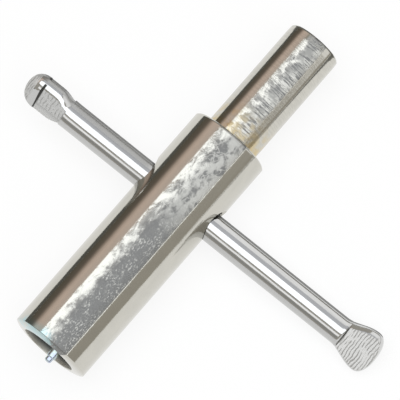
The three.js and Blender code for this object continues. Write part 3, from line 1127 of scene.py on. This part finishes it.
def make_world():
    """Dim warm surroundings that are white to the camera."""
    world = bpy.data.worlds.new("studio")
    bpy.context.scene.world = world
    world.use_nodes = True
    tree = world.node_tree
    shade = tree.nodes["Background"]
    shade.inputs["Color"].default_value = SURROUNDINGS
    white = add(tree, "ShaderNodeBackground", inputs={"Color": (*WHITE, 1)})
    path = tree.nodes.new("ShaderNodeLightPath").outputs
    shares = {0: path["Is Camera Ray"], 1: shade.outputs[0], 2: white.outputs[0]}
    mix = add(tree, "ShaderNodeMixShader", inputs=shares)
    tree.links.new(mix.outputs[0], tree.nodes["World Output"].inputs[0])


def glow_plane(name, tint, strength, lights_floor):
    """A plane of 1 m that glows, unseen by the camera; it lights the floor only where asked."""
    deselect_all()
    bpy.ops.mesh.primitive_plane_add(size=1.0)
    plane = bpy.context.object
    plane.name = name
    material, tree = bare_material(name)
    glow = add(tree, "ShaderNodeEmission", inputs={"Color": (*tint, 1), "Strength": strength})
    add(tree, "ShaderNodeOutputMaterial", inputs={0: glow.outputs[0]})
    plane.data.materials.append(material)
    plane.visible_camera = False
    plane.visible_shadow = False
    plane.visible_diffuse = lights_floor
    return plane


def hang_card(view, card):
    """Hangs a card round the key, between its angles across the barrel and along it."""
    across = math.radians(sum(card.across) / 2)
    along = math.radians(sum(card.along) / 2)
    round_key = math.cos(across) * view["facing"] + math.sin(across) * view["across"]
    out = math.cos(along) * round_key + math.sin(along) * ALONG
    tangent = math.cos(across) * view["across"] - math.sin(across) * view["facing"]
    half_wide = math.radians(card.across[1] - card.across[0]) / 2
    half_tall = math.radians(card.along[1] - card.along[0]) / 2
    wide = 2 * CARD_DISTANCE * math.tan(half_wide) * math.cos(along)
    tall = 2 * CARD_DISTANCE * math.tan(half_tall)
    place = Matrix((tangent, out.cross(tangent), out)).transposed().to_4x4()
    place.translation = out * CARD_DISTANCE
    plane = glow_plane(card.name, card.tint, card.strength, card.lights_floor)
    plane.matrix_world = place @ Matrix.Diagonal((wide, tall, 1, 1))
    return plane


def shade_across(plane, stops):
    """Shades a card from one side to the other."""
    tree = plane.data.materials[0].node_tree
    coordinates = tree.nodes.new("ShaderNodeTexCoord").outputs
    share = calculate(tree, "ADD", axes_of(tree, coordinates["Object"])["X"], 0.5)
    ramp = add(tree, "ShaderNodeValToRGB", inputs={"Fac": share})
    elements = ramp.color_ramp.elements
    while len(elements) < len(stops):
        elements.new(stops[len(elements) - 1][0])
    for element, (place, tint) in zip(elements, stops):
        element.position = place
        element.color = (*tint, 1)
    tree.links.new(ramp.outputs["Color"], tree.nodes["Emission"].inputs["Color"])


def lay_cloth(cloth):
    """Lays a dark cloth on the floor that only reflections show."""
    low, high = cloth.low, cloth.high
    plane = glow_plane(cloth.name, cloth.tint, 1.0, False)
    plane.scale = (high[0] - low[0], high[1] - low[1], 1)
    plane.location = ((low[0] + high[0]) / 2, (low[1] + high[1]) / 2, CLOTH_HEIGHT)


def make_lights(view):
    """The cards and cloths whose reflections band the metal, and a lamp for the floor."""
    planes = {card.name: hang_card(view, card) for card in CARDS}
    shade_across(planes["warm_card"], WARM_STOPS)
    for cloth in CLOTHS:
        lay_cloth(cloth)
    bpy.ops.object.light_add(type="AREA", location=(0, 0, LAMP_HEIGHT))
    lamp = bpy.context.object
    lamp.name = "floor_fill"
    lamp.data.size = LAMP_SIZE
    lamp.data.energy = LAMP_POWER
    lamp.visible_glossy = False


# Operators


class SOCKET_KEY_OT_barrel(bpy.types.Operator):
    """Turns the barrel, bores its socket and drills the cross hole"""

    bl_idname = "socket_key.barrel"
    bl_label = "Barrel"

    def execute(self, context):
        sizes = context.scene.key_sizes
        outer = sizes.barrel_diameter / 2
        bore = sizes.bore_diameter / 2
        land = bore + sizes.mouth_land
        top = BARREL_HIGH.x
        low = MOUTH + sizes.nose_height + SUPPORT
        high = top - sizes.top_chamfer - SUPPORT
        profile = [(MOUTH, bore)]
        for rise, spread in CROWN:
            profile.append((MOUTH + sizes.nose_height * rise, land + (outer - land) * spread))
        profile += straight(low, high, outer, BARREL_RINGS)
        profile += [(high + SUPPORT, outer), (top, outer - sizes.top_chamfer)]
        profile += straight(top, MOUTH, bore, BARREL_RINGS)
        barrel = turn_rings("barrel_shell", profile, AXIS, BARREL_SEGMENTS)
        close_solid(barrel)
        round_edges(barrel, BARREL_EDGE)
        drill_across(barrel, sizes, outer)
        view = studio_axes(context.scene.key_studio)
        material = barrel_material(sizes, context.scene.key_finish, view)
        finish_piece(barrel, "handle", "barrel", material)
        return {"FINISHED"}


class SOCKET_KEY_OT_shank(bpy.types.Operator):
    """Turns the shank with its stub, and drills it for the T-bar, the pin's guide and the spring"""

    bl_idname = "socket_key.shank"
    bl_label = "Shank"

    def execute(self, context):
        sizes = context.scene.key_sizes
        radius = sizes.shank_diameter / 2
        bottom, top = SHANK_LOW.x, SHANK_HIGH.x
        lead = top - sizes.lead_length
        edge = top - sizes.shank_chamfer
        end = radius - sizes.lead_depth
        ease = sizes.lead_depth * LEAD_EASE
        profile = straight(bottom, lead - SUPPORT, radius, SHANK_RINGS)
        profile += [(lead, radius), (lead + SUPPORT, radius - ease)]
        profile += [(edge - SUPPORT, end + ease), (edge, end), (top, end - sizes.shank_chamfer)]
        shank = turn_rings("shank_rod", profile, AXIS, SHANK_SEGMENTS)
        close_solid(shank)
        round_edges(shank, SHANK_EDGE)
        drill_across(shank, sizes, radius)
        guide = (GUIDE_HIGH.y - GUIDE_LOW.y) / 2
        for name, deep, wide in (
            ("guide_drill", GUIDE_HIGH.x + GUIDE_END_ROOM, guide + GUIDE_SIDE_ROOM),
            ("spring_drill", SPRING_HIGH.x + SPRING_END_ROOM, sizes.pin_collar / 2 + COLLAR_SIDE_ROOM),
        ):
            centre = Vector((bottom, *PIN_AXIS))
            drill(shank, name, centre, ALONG, 2 * (deep - bottom), wide, SMALL_SEGMENTS)
        view = studio_axes(context.scene.key_studio)
        material = shank_material(context.scene.key_finish, view)
        finish_piece(shank, "handle", "shank", material)
        return {"FINISHED"}


class SOCKET_KEY_OT_t_bar(bpy.types.Operator):
    """Draws the T-bar out of a ring, flares both ends and presses them flat between dies"""

    bl_idname = "socket_key.t_bar"
    bl_label = "T-bar"

    def execute(self, context):
        sizes = context.scene.key_sizes
        long_arm = long_arm_blank(sizes)
        short_arm = short_arm_blank(sizes)
        bar = join_arms(long_arm, short_arm)
        press_long_pad(bar, sizes)
        press_short_pad(bar, sizes)
        place = BAR_TURN.to_4x4()
        place.translation = Vector((MOUTH + sizes.cross_height, *AXIS))
        bar.matrix_world = place
        apply_place(bar)
        finish_piece(bar, "t_bar", "t_bar", bar_material(sizes, context.scene.key_finish))
        return {"FINISHED"}


class SOCKET_KEY_OT_locating_pin(bpy.types.Operator):
    """Turns the stepped locating pin"""

    bl_idname = "socket_key.locating_pin"
    bl_label = "Locating pin"

    def execute(self, context):
        sizes = context.scene.key_sizes
        tip = PIN_LOW.x
        nose = sizes.pin_nose / 2
        body = sizes.pin_diameter / 2
        collar = sizes.pin_collar / 2
        tail = sizes.pin_tail / 2
        shoulder = tip + sizes.pin_nose_length
        tail_start = PIN_HIGH.x - sizes.pin_tail_length
        collar_start = tail_start - sizes.pin_collar_length
        profile = [(tip + height, nose * share) for height, share in PIN_TIP]
        profile += [(shoulder, nose), (shoulder + PIN_SHOULDER, body)]
        profile += [(collar_start, body), (collar_start, collar), (tail_start, collar)]
        profile += [(tail_start, tail), (PIN_HIGH.x, tail)]
        pin = turn_rings("pin_turned", profile, PIN_AXIS, SMALL_SEGMENTS)
        close_solid(pin)
        round_edges(pin, PIN_EDGE)
        finish_piece(pin, "locating_pin", "locating_pin", zinc(context.scene.key_finish))
        return {"FINISHED"}


class SOCKET_KEY_OT_pin_spring(bpy.types.Operator):
    """Winds the spring behind the pin"""

    bl_idname = "socket_key.pin_spring"
    bl_label = "Pin spring"

    def execute(self, context):
        sizes = context.scene.key_sizes
        wire = sizes.spring_wire / 2
        coil = (sizes.spring_diameter - sizes.spring_wire) / 2
        free_length = SPRING_HIGH.x - SPRING_LOW.x
        start = (SPRING_LOW.x + wire, 0, coil)
        deselect_all()
        bpy.ops.mesh.primitive_circle_add(
            vertices=WIRE_SEGMENTS, radius=wire, location=start, rotation=(math.pi / 2, 0, 0)
        )
        spring = bpy.context.object
        spring.name = "spring_coil"
        apply_place(spring)
        winding = spring.modifiers.new("winding", "SCREW")
        winding.axis = "X"
        winding.iterations = SPRING_TURNS
        winding.steps = COIL_STEPS
        winding.render_steps = COIL_STEPS
        winding.screw_offset = (free_length - sizes.spring_wire) / SPRING_TURNS
        apply_modifier(spring, winding)
        close_solid(spring)
        spring.location = (0, *PIN_AXIS)
        apply_place(spring)
        material = oiled_steel("spring_oiled", context.scene.key_finish, SPRING_CLOUDS)
        finish_piece(spring, "handle", "pin_spring", material)
        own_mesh(spring)
        return {"FINISHED"}


class SOCKET_KEY_OT_pin_guide(bpy.types.Operator):
    """Turns the bush that guides the pin in the shank's end"""

    bl_idname = "socket_key.pin_guide"
    bl_label = "Pin guide"

    def execute(self, context):
        sizes = context.scene.key_sizes
        outer = (GUIDE_HIGH.y - GUIDE_LOW.y) / 2
        chamfer = sizes.guide_chamfer
        hole = sizes.pin_diameter / 2 + sizes.guide_play
        low, high = GUIDE_LOW.x, GUIDE_HIGH.x
        profile = [(low, hole + chamfer), (low, outer - chamfer), (low + chamfer, outer)]
        profile += [(high - chamfer, outer), (high, outer - chamfer), (high, hole + chamfer)]
        profile += [(high - chamfer, hole), (low + chamfer, hole), (low, hole + chamfer)]
        guide = turn_rings("guide_bush", profile, PIN_AXIS, SMALL_SEGMENTS)
        close_solid(guide)
        material = oiled_steel("guide_oiled", context.scene.key_finish, GUIDE_CLOUDS)
        finish_piece(guide, "handle", "pin_guide", material)
        return {"FINISHED"}


class SOCKET_KEY_OT_stage(bpy.types.Operator):
    """Sets the floor, the light panels and the camera"""

    bl_idname = "socket_key.stage"
    bl_label = "Studio"

    def execute(self, context):
        view = studio_axes(context.scene.key_studio)
        make_floor()
        make_world()
        make_lights(view)
        make_camera(view)
        context.scene.view_settings.view_transform = "Standard"
        return {"FINISHED"}


class VIEW3D_PT_socket_key(bpy.types.Panel):
    """Buttons for the key's pieces"""

    bl_label = "Socket key"
    bl_idname = "VIEW3D_PT_socket_key"
    bl_space_type = "VIEW_3D"
    bl_region_type = "UI"
    bl_category = "Socket key"

    def draw(self, context):
        for step in STEPS:
            self.layout.operator(step.bl_idname)


STEPS = (
    SOCKET_KEY_OT_barrel,
    SOCKET_KEY_OT_shank,
    SOCKET_KEY_OT_t_bar,
    SOCKET_KEY_OT_locating_pin,
    SOCKET_KEY_OT_pin_spring,
    SOCKET_KEY_OT_pin_guide,
    SOCKET_KEY_OT_stage,
)
SETTINGS = {"key_sizes": KeySizes, "key_finish": KeyFinish, "key_studio": KeyStudio}


def register():
    """Registers the settings, the steps and the panel."""
    for name, group in SETTINGS.items():
        bpy.utils.register_class(group)
        setattr(bpy.types.Scene, name, PointerProperty(type=group))
    for step in STEPS:
        bpy.utils.register_class(step)
    bpy.utils.register_class(VIEW3D_PT_socket_key)


def unregister():
    """Takes everything off again."""
    bpy.utils.unregister_class(VIEW3D_PT_socket_key)
    for step in reversed(STEPS):
        bpy.utils.unregister_class(step)
    for name, group in SETTINGS.items():
        delattr(bpy.types.Scene, name)
        bpy.utils.unregister_class(group)


def main():
    """Builds every piece and the studio."""
    register()
    bpy.ops.socket_key.barrel()
    bpy.ops.socket_key.shank()
    bpy.ops.socket_key.t_bar()
    bpy.ops.socket_key.locating_pin()
    bpy.ops.socket_key.pin_spring()
    bpy.ops.socket_key.pin_guide()
    bpy.ops.socket_key.stage()


if __name__ == "__main__":
    main()
